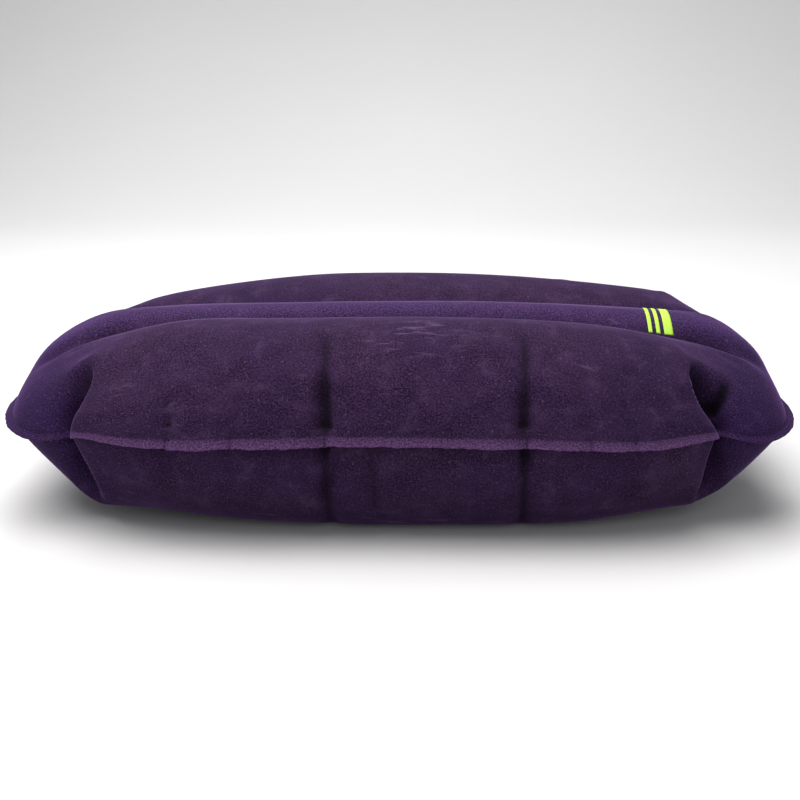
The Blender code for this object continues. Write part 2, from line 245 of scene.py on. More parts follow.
def flat_cut(nx, ny):
    """The cut as a grid of points, (3, nx, ny), that follows the outline on all four sides."""
    quarter = outline(np.linspace(math.pi / 2, CORNER_ANGLE, 400))
    front = np.concatenate([quarter[:, ::-1] * [[-1], [1]], quarter], axis=1)
    front = along_evenly(front, nx)
    quarter = outline(np.linspace(CORNER_ANGLE, 0, 400))
    end = np.concatenate([quarter, quarter[:, ::-1] * [[1], [-1]]], axis=1)
    end = along_evenly(end, ny)
    across = np.linspace(-1, 1, nx)[:, None]
    deep = np.linspace(-1, 1, ny)[None, :]
    corner_x, corner_y = front[0, -1], -front[1, -1]
    x = across * end[0][None, :] + front[0][:, None] - across * corner_x
    y = -deep * front[1][:, None] + end[1][None, :] - deep * corner_y
    return np.stack([x, y, np.zeros_like(x)])


def rim_order(nx, ny):
    """Grid places round the rim, anticlockwise from the front left corner."""
    places = [(i, 0) for i in range(nx)]
    places += [(nx - 1, j) for j in range(1, ny)]
    places += [(i, ny - 1) for i in range(nx - 2, -1, -1)]
    places += [(0, j) for j in range(ny - 2, 0, -1)]
    return tuple(np.array(places).T)


def distance(a, b):
    return np.sqrt(((a - b) ** 2).sum(0))


def correction(a, b, rest, slack):
    """How far each of two points has to move towards the other for their rest distance."""
    gap = b - a
    length = np.sqrt(gap[0] ** 2 + gap[1] ** 2 + gap[2] ** 2) + 1e-12
    return gap * ((length - rest) / (length * (2.0 + slack)))


def sheet_links(cut):
    """Every grid edge and diagonal of the cut, in sets in which no point comes twice."""
    nx, ny = cut.shape[1:]
    whole = slice(None)
    edges, diagonals = [], []
    for parity in (0, 1):
        near_x, far_x = slice(parity, nx - 1, 2), slice(parity + 1, nx, 2)
        near_y, far_y = slice(parity, ny - 1, 2), slice(parity + 1, ny, 2)
        low_y, high_y = slice(0, ny - 1), slice(1, ny)
        edges += [((near_x, whole), (far_x, whole), 0.0), ((whole, near_y), (whole, far_y), 0.0)]
        diagonals += [
            ((near_x, low_y), (far_x, high_y), SHEAR_SLACK),
            ((near_x, high_y), (far_x, low_y), SHEAR_SLACK),
        ]
    return [
        (a, b, distance(cut[(whole, *a)], cut[(whole, *b)]), slack)
        for a, b, slack in edges + diagonals
    ]


def spans(points):
    """From the point before each point to the one after it, along the third axis."""
    made = np.empty_like(points)
    made[:, :, 1:-1] = points[:, :, 2:] - points[:, :, :-2]
    made[:, :, 0] = points[:, :, 1] - points[:, :, 0]
    made[:, :, -1] = points[:, :, -1] - points[:, :, -2]
    return made


def area_vectors(points):
    """Outward normals of both skins, (3, 2, nx, ny), as long as the area that each point stands for."""
    along = spans(points)
    across = spans(points.swapaxes(2, 3)).swapaxes(2, 3)
    normal = np.stack([
        along[1] * across[2] - along[2] * across[1],
        along[2] * across[0] - along[0] * across[2],
        along[0] * across[1] - along[1] * across[0],
    ]) / 4
    normal[:, 1] *= -1
    return normal


def stiffen(points, share):
    """Spread each point's bend over its neighbours, along both ways of the grid."""
    for grid in (points, points.swapaxes(2, 3)):
        bend = grid[:, :, 2:] - 2 * grid[:, :, 1:-1] + grid[:, :, :-2]
        grid[:, :, 2:] -= share * bend
        grid[:, :, :-2] -= share * bend
        grid[:, :, 1:-1] += 2 * share * bend


def corner_creases():
    """The folds at the four corners, as DENTS has its creases."""
    return [
        (side * x0, depth * y0, side * x1, depth * y1, width, strength, "tb")
        for side, (x0, y0, x1, y1, width, strength) in zip((-1, 1), CORNER_FOLDS)
        for depth in (-1, 1)
    ]


def near_crease(cut, x0, y0, x1, y1):
    """Each point's share of the way along a crease, and its squared distance from it."""
    dx, dy = x1 - x0, y1 - y0
    share = np.clip(((cut[0] - x0) * dx + (cut[1] - y0) * dy) / (dx * dx + dy * dy), 0, 1)
    return share, (cut[0] - x0 - share * dx) ** 2 + (cut[1] - y0 - share * dy) ** 2


def crease_map(cut):
    """What the pressure on each point is multiplied by: below 1 at the creases."""
    push = np.ones((2,) + cut.shape[1:])
    for *line, width, strength, skins in corner_creases() + list(DENTS):
        share, away = near_crease(cut, *line)
        less = strength * np.exp(-away / width**2) * (1 - share**FOLD_FADE)
        for layer, letter in enumerate("tb"):
            if letter in skins:
                push[layer] -= less
    return push


class Inflation:
    """Two flat sheets under pressure, welded round the rim and tied by two webs. Layer 0 is the upper."""

    def __init__(self, nx, ny):
        self.cut = flat_cut(nx, ny)
        self.links = sheet_links(self.cut)
        self.points = np.stack([self.cut, self.cut], 1)
        self.speed = np.zeros_like(self.points)
        self.creases = crease_map(self.cut)
        self.rim = rim_order(nx, ny)
        self.set_webs(nx, ny)
        self.set_flange()

    def set_webs(self, nx, ny):
        depths = self.cut[1, nx // 2]
        pitch = depths[ny // 2 + 1] - depths[ny // 2]
        wide = max(1, round(WEB_TAB / pitch))
        self.web_rows = []
        for side in (-1, 1):
            first = int(np.argmin(abs(depths - side * WEB_Y))) - wide // 2
            self.web_rows.append(slice(first, first + wide))
        places = self.cut[0, :, int(np.argmin(abs(depths - WEB_Y)))]
        reach = [int(np.argmin(abs(places - side * WEB_HALF_LENGTH))) for side in (-1, 1)]
        self.web_columns = slice(reach[0], reach[1] + 1)
        spacing = self.cut[0, nx // 2 + 1, 0] - self.cut[0, nx // 2, 0]
        self.bend_share = min(STIFFNESS / spacing**2, 0.06)

    def set_flange(self):
        inner = self.cut[:, self.rim[0], self.rim[1]]
        outward = self.outward(inner)
        self.flange_cut = inner + outward * FLANGE_WIDTH
        self.flange = self.flange_cut.copy()
        self.flange_speed = np.zeros_like(self.flange)
        self.rest_outer = distance(self.flange_cut, np.roll(self.flange_cut, -1, 1))
        self.rest_inner = distance(inner, np.roll(inner, -1, 1))
        self.rest_two = distance(inner, np.roll(inner, -2, 1))
        self.rest_ahead = distance(inner, np.roll(self.flange_cut, -1, 1))
        self.rest_behind = distance(np.roll(inner, -1, 1), self.flange_cut)
        ends, front, sharpness, power = FLANGE_DROOP
        self.droop = np.radians(ends + front * np.clip(-sharpness * outward[1], 0, 1) ** power)

    @staticmethod
    def outward(rim):
        """Unit vectors in plan that point out of a rim that runs anticlockwise."""
        along = np.roll(rim, -1, 1) - np.roll(rim, 1, 1)
        out = np.stack([along[1], -along[0], 0 * along[0]])
        return out / (np.sqrt((out**2).sum(0)) + 1e-12)

    def step(self, crease_share):
        points = self.points
        before, flange_before = points.copy(), self.flange.copy()
        push = PRESSURE * area_vectors(points) * (1 + (self.creases - 1) * crease_share)
        self.speed *= DAMPING
        points += self.speed
        points += push
        self.flange += self.flange_speed * DAMPING
        whole = slice(None)
        for a, b, rest, slack in self.links:
            near, far = points[(whole, whole, *a)], points[(whole, whole, *b)]
            move = correction(near, far, rest, slack)
            near += move
            far -= move
        stiffen(points, self.bend_share)
        self.hold_webs()
        self.hold_rim()
        self.hold_flange()
        self.speed = points - before
        self.flange_speed = self.flange - flange_before

    def hold_webs(self):
        for rows in self.web_rows:
            top = self.points[:, 0, self.web_columns, rows]
            bottom = self.points[:, 1, self.web_columns, rows]
            gap = top - bottom
            length = np.sqrt((gap**2).sum(0)) + 1e-12
            move = gap * (np.maximum(length - WEB_HEIGHT, 0) / (length * 2))
            top -= move
            bottom += move

    def hold_rim(self):
        i, j = self.rim
        welded = (self.points[:, 0, i, j] + self.points[:, 1, i, j]) / 2
        self.points[:, 0, i, j] = welded
        self.points[:, 1, i, j] = welded

    def hold_flange(self):
        """Keep the flange's width and length, let it droop, and pass its stiffness to the rim."""
        i, j = self.rim
        inner, outer = self.points[:, 0, i, j], self.flange
        down = np.array([0, 0, -1.0])[:, None]
        hang = self.outward(inner) * np.cos(self.droop) + down * np.sin(self.droop)
        outer += (inner + FLANGE_WIDTH * hang - outer) * FLANGE_PULL
        count = inner.shape[1]
        places = np.arange(count)

        def tie(near, near_at, far, far_at, rest, slack=0.0):
            move = correction(near[:, near_at], far[:, far_at], rest, slack)
            near[:, near_at] += move
            far[:, far_at] -= move

        for parity in (0, 1):
            at = places[parity::2]
            after = (at + 1) % count
            tie(outer, at, outer, after, self.rest_outer[at])
            tie(inner, at, outer, after, self.rest_ahead[at], 0.5)
            tie(inner, after, outer, at, self.rest_behind[at], 0.5)
            tie(inner, at, inner, after, self.rest_inner[at])
        tie(inner, places, outer, places, FLANGE_WIDTH)
        for parity in range(4):
            at = places[parity::4]
            tie(inner, at, inner, (at + 2) % count, self.rest_two[at])
        self.points[:, 0, i, j] = inner
        self.points[:, 1, i, j] = inner

    def straighten(self):
        """Turn the whole back to where the flat cut lay."""
        middle = self.points.mean(1).reshape(3, -1)
        centre = middle.mean(1)[:, None]
        u, _, vt = np.linalg.svd((middle - centre) @ self.cut.reshape(3, -1).T)
        turn = vt.T @ np.diag([1, 1, np.sign(np.linalg.det(vt.T @ u.T))]) @ u.T
        shape = self.points.shape
        self.points = (turn @ (self.points.reshape(3, -1) - centre)).reshape(shape)
        self.speed = (turn @ self.speed.reshape(3, -1)).reshape(shape)
        self.flange = turn @ (self.flange - centre)
        self.flange_speed = turn @ self.flange_speed


def doubled(values):
    """A grid with a new point midway between every two neighbours."""
    for _ in range(2):
        values = values.swapaxes(-1, -2)
        made = np.empty(values.shape[:-1] + (2 * values.shape[-1] - 1,))
        made[..., ::2] = values
        made[..., 1::2] = (values[..., :-1] + values[..., 1:]) / 2
        values = made
    return values


def doubled_ring(values):
    """A closed row of points with a new one midway between every two."""
    made = np.empty((3, 2 * values.shape[1]))
    made[:, ::2] = values
    made[:, 1::2] = (values + np.roll(values, -1, 1)) / 2
    return made


def inflate(levels):
    """The blown-up cushion at the finest level."""
    coarse = None
    for (nx, ny, steps), crease_share in zip(levels, FOLD_SHARES):
        sim = Inflation(nx, ny)
        if coarse is None:
            crown = FIRST_CROWN * (1 - (abs(sim.cut[0]) / CUT_HALF_LENGTH) ** 4)
            crown = crown * (1 - (sim.cut[1] / CUT_HALF_DEPTH) ** 4)
            sim.points[2, 0] += crown
            sim.points[2, 1] -= crown
        else:
            sim.points = doubled(coarse.points)
            sim.flange = doubled_ring(coarse.flange)
        for count in range(steps):
            sim.step(crease_share)
            if count % STRAIGHTEN_EVERY == 0:
                sim.straighten()
        coarse = sim
    sim.straighten()
    press_in(sim)
    return sim


def smooth(t):
    """0 below 0, 1 above 1, and an eased step between."""
    t = np.clip(t, 0, 1)
    return t * t * (3 - 2 * t)


def pleat(cut):
    """How deep the pleats are at points of the flat cut."""
    x, y = abs(cut[0]), abs(cut[1])
    right = cut[0] > 0
    out = x - np.interp(y, *PLEAT_LINE)
    width = np.where(out < 0, PLEAT_INNER, np.where(right, PLEAT_OUTER[1], PLEAT_OUTER[0]))
    depth = np.where(right, PLEAT_DEPTHS[1], PLEAT_DEPTHS[0])
    return depth * np.exp(-((out / width) ** 2)) * smooth(np.interp(y, *PLEAT_FADE))


def dent(cut, layer, held=True):
    """How deep one skin's dents are at points of the flat cut, with or without the weld's hold."""
    depth = np.zeros(cut.shape[1:])
    for *line, width, strength, skins in DENTS + PRESSED_DENTS:
        if "tb"[layer] in skins:
            share, away = near_crease(cut, *line)
            fade = 1 - smooth((share - DENT_ENDS[0]) / (DENT_ENDS[1] - DENT_ENDS[0]))
            if held:
                fade = fade * smooth(share / DENT_START)
            depth += DENT_DEPTH * strength * np.exp(-away / (DENT_SPREAD * width) ** 2) * fade
    return depth


def groove(cut):
    """How deep the grooves' ends are at points of the flat cut."""
    x, y = abs(cut[0]), abs(cut[1])
    off = y - np.interp(x, *GROOVE_LINE)
    return GROOVE_DEPTH * np.exp(-((off / GROOVE_WIDTH) ** 2)) * smooth(np.interp(x, *GROOVE_FADE))


def eased(points, share):
    """Grids of points, each drawn by its share towards the middle of its four neighbours."""
    middle = points.copy()
    middle[..., 1:-1, 1:-1] = (
        points[..., 2:, 1:-1] + points[..., :-2, 1:-1] + points[..., 1:-1, 2:] + points[..., 1:-1, :-2]
    ) / 4
    return points + (middle - points) * share


def press_in(sim):
    """Push the pleats and the dents into the blown-up skins."""
    inward = -area_vectors(sim.points)
    inward /= np.sqrt((inward**2).sum(0)) + 1e-12
    pleats = pleat(sim.cut) * np.where(sim.cut[1] < 0, 1.0, PLEAT_REAR)
    grooves = groove(sim.cut)
    for layer, depth in enumerate((pleats + grooves, (pleats + grooves) * PLEAT_UNDER)):
        sim.points[:, layer] += inward[:, layer] * (depth + dent(sim.cut, layer))
    share = smooth(pleats / EASED_DEPTH)
    for _ in range(EASING_ROUNDS):
        sim.points = eased(sim.points, share)


# ---- how the cushion lies


def settled(points):
    """Points of the inflation, of any shape (3, ...), moved to where they lie on the floor."""
    x, y, z = points
    z = z + SEAM_LIFT
    right = x > 0
    out = np.clip(abs(x) / OUT, 0, 1.2)
    taper = 1 - np.where(right, END_TAPER[1], END_TAPER[0]) * out**2.5
    middle = 1 + (MIDDLE_CROWN - 1) * np.exp(-((y / MIDDLE_REACH) ** 4))
    z = z * np.where(z > 0, UPPER_RISE, LOWER_DROP) * taper * middle
    z = z - np.where(right, END_SAG[1], END_SAG[0]) * (x / SAG_OUT) ** 2
    lean = 1 - END_SLANT * np.clip(abs(z) / SLANT_HEIGHT, 0, 1.2) ** 1.5 * np.clip(out, 0, 1) ** 2
    x = x * np.where(right, END_REACH[1], END_REACH[0]) * lean
    even = np.stack([x, y * DEPTH_REACH, z])
    moved = even.copy()
    upright = (3,) + (1,) * (even.ndim - 1)
    for centre, reach, *moves in PUSHES:
        for side, move in zip((-1, 1), moves):
            place = np.multiply(centre, (side, 1, 1))
            away = ((even - np.reshape(place, upright)) ** 2).sum(0)
            moved += np.reshape(move, upright) * np.exp(-away / reach**2)
    z = moved[2] + SEAM_HEIGHT - FILM
    moved[2] = FILM + 0.5 * (z + np.sqrt(z**2 + FLOOR_EASE**2))
    return moved


# ---- meshes


def quads_between(numbers, flipped=False):
    """Quads that join neighbours in a 2-D array of vertex numbers."""
    corners = [numbers[:-1, :-1], numbers[1:, :-1], numbers[1:, 1:], numbers[:-1, 1:]]
    made = np.stack(corners, -1).reshape(-1, 4)
    return made[:, ::-1] if flipped else made


def vertex_normals(points, quads):
    """Unit normals at (n, 3) points, weighted by the area of the quads round them."""
    a, b, c, d = (points[quads[:, k]] for k in range(4))
    face = np.cross(c - a, d - b)
    total = np.zeros_like(points)
    for k in range(4):
        np.add.at(total, quads[:, k], face)
    return total / (np.linalg.norm(total, axis=1)[:, None] + 1e-15)


def open_edges(quads):
    """Directed edges that only one quad has."""
    starts = quads.ravel()
    ends = np.roll(quads, -1, 1).ravel()
    size = int(quads.max()) + 1
    keys = starts * size + ends
    paired = np.isin(keys, ends * size + starts)
    return np.stack([starts[~paired], ends[~paired]], 1)


def new_object(name, data):
    obj = bpy.data.objects.new(name, data)
    bpy.context.scene.collection.objects.link(obj)
    return obj


def mesh_object(name, points, faces, material):
    """A new smooth-shaded object of points and faces."""
    mesh = bpy.data.meshes.new(name)
    mesh.from_pydata(points.tolist(), [], [list(map(int, face)) for face in faces])
    mesh.materials.append(material)
    mesh.shade_smooth()
    return new_object(name, mesh)


def add_attribute(obj, name, values):
    """A number or a vector for every vertex, which the materials read by name."""
    kind = "FLOAT_VECTOR" if values.ndim == 2 else "FLOAT"
    attribute = obj.data.attributes.new(name, kind, "POINT")
    key = "vector" if values.ndim == 2 else "value"
    attribute.data.foreach_set(key, values.astype(np.float32).ravel())


def shell(name, points, quads, thickness, material):
    """A closed solid between a sheet of quads and its copy, thickness further out along the normals."""
    normals = vertex_normals(points, quads)
    used = np.zeros(len(points), bool)
    used[quads.ravel()] = True
    number = np.cumsum(used) - 1
    quads = number[quads]
    inner, normals = points[used], normals[used]
    count = len(inner)
    border = open_edges(quads)
    walls = np.stack([border[:, 1], border[:, 0], border[:, 0] + count, border[:, 1] + count], 1)
    faces = np.concatenate([quads, quads[:, ::-1] + count, walls])
    both = np.concatenate([inner + normals * thickness, inner])
    return mesh_object(name, both, faces, material), used


# ---- materials


def paint(name, **constants):
    """A new material, its Principled shader with constants on its sockets, and its node tree."""
    made = bpy.data.materials.new(name)
    made.use_nodes = True
    shader = made.node_tree.nodes["Principled BSDF"]
    for key, value in constants.items():
        shader.inputs[key.replace("_", " ")].default_value = value
    return made, shader, made.node_tree


def add_node(tree, kind, settings=None, **inputs):
    """A node with its settings and inputs: a socket is linked, and anything else is a constant."""
    node = tree.nodes.new("ShaderNode" + kind)
    for key, value in (settings or {}).items():
        setattr(node, key, value)
    for key, value in inputs.items():
        socket = node.inputs[int(key[1:]) if key[1:].isdigit() else key.replace("_", " ")]
        if isinstance(value, bpy.types.NodeSocket):
            tree.links.new(value, socket)
        else:
            socket.default_value = value
    return node


def noise(tree, vector, scale, detail=2.0, roughness=0.5, distortion=0.0):
    """Noise from 0 to 1, mostly near 0.5."""
    made = add_node(
        tree, "TexNoise", None, Vector=vector, Scale=scale, Detail=detail,
        Roughness=roughness, Distortion=distortion,
    )
    return made.outputs["Fac"]


def spread(tree, value, low, high, to_low=0.0, to_high=1.0):
    """A value from low to high, mapped to to_low to to_high and held there beyond."""
    made = add_node(tree, "MapRange", {"interpolation_type": "SMOOTHSTEP"}, i0=value, i1=low,
                    i2=high, i3=to_low, i4=to_high)
    return made.outputs[0]


def maths(tree, operation, a, b=0.0):
    """The result of a Math node, whose second value some operations leave out."""
    return add_node(tree, "Math", {"operation": operation}, i0=a, i1=b).outputs[0]


def mixed(tree, share, a, b):
    """Two colours mixed by a share."""
    return add_node(tree, "Mix", {"data_type": "RGBA"}, i0=share, i6=a, i7=b).outputs[2]


def product(tree, a, b):
    return maths(tree, "MULTIPLY", a, b)


def scaled(tree, vector, x, y, z=1.0):
    """A vector with each of its parts multiplied by a number."""
    return add_node(tree, "VectorMath", {"operation": "MULTIPLY"}, i0=vector, i1=(x, y, z)).outputs[0]


def surface(tree, shader, colour, height, strength, distance):
    """Give a shader its colour and a bump from a height."""
    bump = add_node(tree, "Bump", None, Height=height, Strength=strength, Distance=distance)
    tree.links.new(colour, shader.inputs["Base Color"])
    tree.links.new(bump.outputs[0], shader.inputs["Normal"])


def plain_pile(tree, cut, grain, brushed):
    """The pile's colour before wear: shade and tips, in brushed, cool and mottled patches."""
    mottled = noise(tree, cut, 85.0, 4.0, 0.65, 0.3)
    large = noise(tree, cut, 9.0, 2.0)
    colour = mixed(tree, spread(tree, grain, 0.37, 0.66), *PILE)
    colour = mixed(tree, spread(tree, brushed, 0.35, 0.7, 0.0, 0.35), colour, BRUSHED_PILE)
    colour = mixed(tree, spread(tree, large, 0.4, 0.65, 0.0, 0.35), colour, COOL_PILE)
    colour = mixed(tree, spread(tree, mottled, 0.28, 0.48, 0.4, 0.0), colour, MOTTLED_PILE[0])
    return mixed(tree, spread(tree, mottled, 0.50, 0.76, 0.0, 0.45), colour, MOTTLED_PILE[1])


def ends_and_sheen(tree, colour, cut, grain, speckled):
    """The colour, darker and bluer at both ends, with painted sheen on the middle's top and painted
    highlights on the ridges.
    """
    along, across = add_node(tree, "SeparateXYZ", None, Vector=cut).outputs[:2]
    ends = maths(tree, "ABSOLUTE", along)
    end_pile = mixed(tree, speckled, *END_PILE)
    colour = mixed(tree, spread(tree, ends, 0.160, 0.235, 0.0, 0.55), colour, end_pile)
    # Painted sheen on the middle chamber's top
    from_middle = maths(tree, "ABSOLUTE", maths(tree, "SUBTRACT", across, MIDDLE_TOP))
    middle_sheen = mixed(tree, speckled, *MIDDLE_SHEEN_COLOURS)
    colour = mixed(tree, spread(tree, from_middle, 0.008, 0.022, 0.40, 0.0), colour, middle_sheen)
    highlight_tips = spread(tree, grain, 0.30, 0.62, 0.5, 1.0)
    highlight_tips = product(tree, highlight_tips, spread(tree, ends, 0.13, 0.20, 1.0, 0.0))
    # Painted highlights along the ridges' crests
    for line, bend, share in RIDGES:
        place = maths(tree, "ADD", product(tree, product(tree, along, along), bend), line)
        from_line = maths(tree, "ABSOLUTE", maths(tree, "SUBTRACT", across, place))
        ridge_highlight = product(tree, spread(tree, from_line, 0.0, RIDGE_REACH, share, 0.0), highlight_tips)
        colour = mixed(tree, ridge_highlight, colour, RIDGE_HIGHLIGHT_COLOUR)
    return colour, ends


def worn_pile(tree, colour, cut):
    """The colour with scuffs here and there, and one rubbed patch at the front."""
    streaks = noise(tree, scaled(tree, cut, 0.18, 1.0), 230.0, 3.0, 0.6, 0.4)
    where = noise(tree, cut, 21.0, 1.0)
    scuffed = product(tree, spread(tree, streaks, 0.60, 0.74), spread(tree, where, 0.54, 0.70, 0.0, 0.7))
    colour = mixed(tree, scuffed, colour, SCUFFED_PILE)
    stretched = scaled(tree, cut, *RUBBED_STRETCH)
    away = add_node(tree, "VectorMath", {"operation": "DISTANCE"}, i0=stretched, i1=RUBBED_PLACE)
    near = spread(tree, away.outputs["Value"], 0.016, 0.046, 0.9, 0.0)
    return mixed(tree, product(tree, near, spread(tree, streaks, 0.52, 0.66)), colour, RUBBED_PILE)


def flock_material():
    """Short violet pile on film: grain, brushed patches, wear, lint, crushed pile at the welds, and
    painted sheen and shade.
    """
    made, shader, tree = paint(
        "violet_flock_pile", Roughness=0.92, Specular_IOR_Level=0.08,
        Sheen_Weight=0.25, Sheen_Roughness=0.28, Sheen_Tint=(0.52, 0.24, 0.82, 1),
    )
    cut = add_node(tree, "Attribute", {"attribute_name": "cut"}).outputs["Vector"]
    weld = add_node(tree, "Attribute", {"attribute_name": "weld"}).outputs["Fac"]
    painted_shade = add_node(tree, "Attribute", {"attribute_name": "painted_shade"}).outputs["Fac"]
    grain = noise(tree, cut, 950.0, 2.0, 0.7)
    brushed = noise(tree, scaled(tree, cut, 1.0, 1.6), 34.0, 4.0, 0.55, 0.6)
    speckled = spread(tree, grain, 0.38, 0.66)
    colour = plain_pile(tree, cut, grain, brushed)
    colour, ends = ends_and_sheen(tree, colour, cut, grain, speckled)
    colour = worn_pile(tree, colour, cut)
    crushed = product(tree, weld, spread(tree, ends, 0.18, 0.24, 0.75, 0.1))
    colour = mixed(tree, crushed, colour, mixed(tree, speckled, *CRUSHED_PILE))
    lint = noise(tree, cut, 620.0, 2.0, 0.6)
    colour = mixed(tree, spread(tree, lint, 0.60, 0.76, 0.0, 0.45), colour, LINT)
    # Painted shade in creases, dents and under the flange
    colour = mixed(tree, spread(tree, painted_shade, 0.0, 1.0, 0.0, 0.9), colour, PAINTED_SHADE_COLOUR)
    height = maths(tree, "ADD", product(tree, grain, 0.4), product(tree, brushed, 0.5))
    surface(tree, shader, colour, height, 0.6, 0.0006)
    return made


def film_material():
    """The plain inner face of the film: smooth, a little cloudy."""
    made, shader, tree = paint("inner_film_plain", Roughness=0.42)
    place = add_node(tree, "TexCoord").outputs["Object"]
    cloud = noise(tree, place, 60.0, 3.0)
    colour = mixed(tree, cloud, (0.10, 0.07, 0.15, 1), (0.18, 0.14, 0.24, 1))
    surface(tree, shader, colour, noise(tree, place, 700.0), 0.2, 0.0003)
    return made


def valve_material():
    """Soft moulded PVC: violet all through, satin, with faint flow marks and dulled spots."""
    made, shader, tree = paint(
        "soft_pvc_moulded", Subsurface_Weight=0.15,
        Subsurface_Radius=(0.002, 0.001, 0.003), Subsurface_Scale=1.0,
    )
    place = add_node(tree, "TexCoord").outputs["Object"]
    flow = noise(tree, place, 260.0, 3.0, 0.5, 1.2)
    fine = noise(tree, place, 2600.0, 2.0)
    colour = mixed(tree, flow, (0.055, 0.026, 0.090, 1), (0.095, 0.052, 0.140, 1))
    surface(tree, shader, colour, maths(tree, "ADD", flow, fine), 0.15, 0.0003)
    tree.links.new(spread(tree, flow, 0.2, 0.8, 0.30, 0.48), shader.inputs["Roughness"])
    return made


def print_material():
    """Lime transfer ink on the pile, thin and a little broken."""
    made, shader, tree = paint("lime_transfer_ink", Roughness=0.7)
    place = add_node(tree, "TexCoord").outputs["Object"]
    worn = noise(tree, place, 900.0, 3.0, 0.6)
    fresh, thin = (0.42, 0.72, 0.05, 1), (0.20, 0.36, 0.04, 1)
    colour = mixed(tree, spread(tree, worn, 0.55, 0.75, 0.0, 0.7), fresh, thin)
    surface(tree, shader, colour, worn, 0.4, 0.0003)
    return made


# ---- skins


def valve_frame():
    """The valve's seat on the skin, and its own across, side and outward directions."""
    low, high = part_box("valve_ring")
    out = np.array([0, math.cos(VALVE_ELEVATION), math.sin(VALVE_ELEVATION)])
    across = np.array([1.0, 0, 0])
    seat = (np.array(low) + np.array(high)) / 2 - out * RING_MIDDLE
    return seat, np.stack([across, np.cross(out, across), out])


def from_valve(points):
    """Points in the valve's own frame, and their distances from its axis."""
    seat, axes = valve_frame()
    local = (points - seat) @ axes.T
    return local, np.hypot(local[:, 0], local[:, 1])


def to_world(local):
    """Points of the valve's own frame in the world."""
    seat, axes = valve_frame()
    return local @ axes + seat


def flatten_for_valve(points):
    """Bring the upper skin's points near the valve down to its flat patch."""
    local, away = from_valve(points)
    near = (1 - smooth((away - PATCH_RADIUS) / PATCH_EASE)) * (abs(local[:, 2]) < 2 * PLANE_REACH)
    local[:, 2] += (-FILM - local[:, 2]) * near
    return to_world(local)


def cut_valve_hole(points, quads):
    """Swap the quads at the valve for rings of quads that end in a round hole."""
    local, _ = from_valve(points)
    centres = local[quads].mean(1)
    inside = np.hypot(centres[:, 0], centres[:, 1]) < PATCH_RADIUS
    inside = inside & (abs(centres[:, 2]) < PLANE_REACH)
    kept = quads[~inside]
    after = dict(open_edges(quads[inside]).tolist())
    loop = [min(after)]
    while after[loop[-1]] != loop[0]:
        loop.append(after[loop[-1]])
    loop = np.array(loop)
    angles = np.unwrap(np.arctan2(local[loop, 1], local[loop, 0]))
    angles = np.maximum.accumulate(angles)
    rings = [loop]
    added = []
    count = len(points)
    for radius, height in PATCH_PROFILE:
        ring = np.stack([radius * np.cos(angles), radius * np.sin(angles), height - FILM + 0 * angles], 1)
        if radius == PATCH_RADIUS:
            points[loop] = to_world(ring)
            continue
        rings.append(np.arange(count, count + len(loop)))
        added.append(to_world(ring))
        count += len(loop)
    belts = [
        np.stack([near, np.roll(near, -1), np.roll(far, -1), far], 1)
        for near, far in zip(rings, rings[1:])
    ]
    return np.concatenate([points, *added]), np.concatenate([kept, *belts])


def spots_round_valve(points, spots):
    """The places on the flat cut of the rings round the valve, which spots ends before."""
    local, away = from_valve(points)
    plane = np.column_stack([local[:, :2], np.ones(len(local))])
    near = (away < 1.5 * PATCH_RADIUS) & (abs(local[:, 2]) < PLANE_REACH)
    near = near[:len(spots)]
    fit = np.linalg.lstsq(plane[:len(spots)][near], spots[near], rcond=None)[0]
    return plane[len(spots):] @ fit


def wander(rng, count, reach):
    """Random numbers round a ring that change over about reach places, of spread 1."""
    raw = rng.normal(0, 1, count)
    places = np.arange(count)
    kernel = np.exp(-((np.minimum(places, count - places) / reach) ** 2))
    made = np.real(np.fft.ifft(np.fft.fft(raw) * np.fft.fft(kernel)))
    return made / made.std()


def flange_rows(inner, outer, ragged):
    """Rows of points across the weld flange, whose cut edge is a little ragged."""
    return [inner + (outer - inner) * (share + ragged * share**3) for share in FLANGE_SHARES]


def crease_shade(points, quads):
    """0 to 1, how dark the painted shade in a crease is at each point, from how far its neighbours stand
    above it.
    """
    normals = vertex_normals(points, quads)
    smoothed = points.copy()
    for _ in range(4):
        total = np.zeros_like(points)
        weight = np.zeros(len(points))
        for k in range(4):
            np.add.at(total, quads[:, k], smoothed[quads[:, (k + 1) % 4]] + smoothed[quads[:, k - 1]])
            np.add.at(weight, quads[:, k], 2)
        smoothed = total / np.maximum(weight, 1)[:, None]
    depth = ((smoothed - points) * normals).sum(1)
    return np.clip(depth / CREASE_SHADE_DEPTH, 0, 1)


def shaded_by_flange(nx, ny):
    """How dark the painted shade under the flange is at each point of the lower skin's grid."""
    darkest, reach = FLANGE_SHADE
    i, j = np.arange(nx), np.arange(ny)
    rows_in = np.minimum.outer(np.minimum(i, nx - 1 - i), np.minimum(j, ny - 1 - j))
    return darkest * np.exp(-rows_in / reach).ravel()


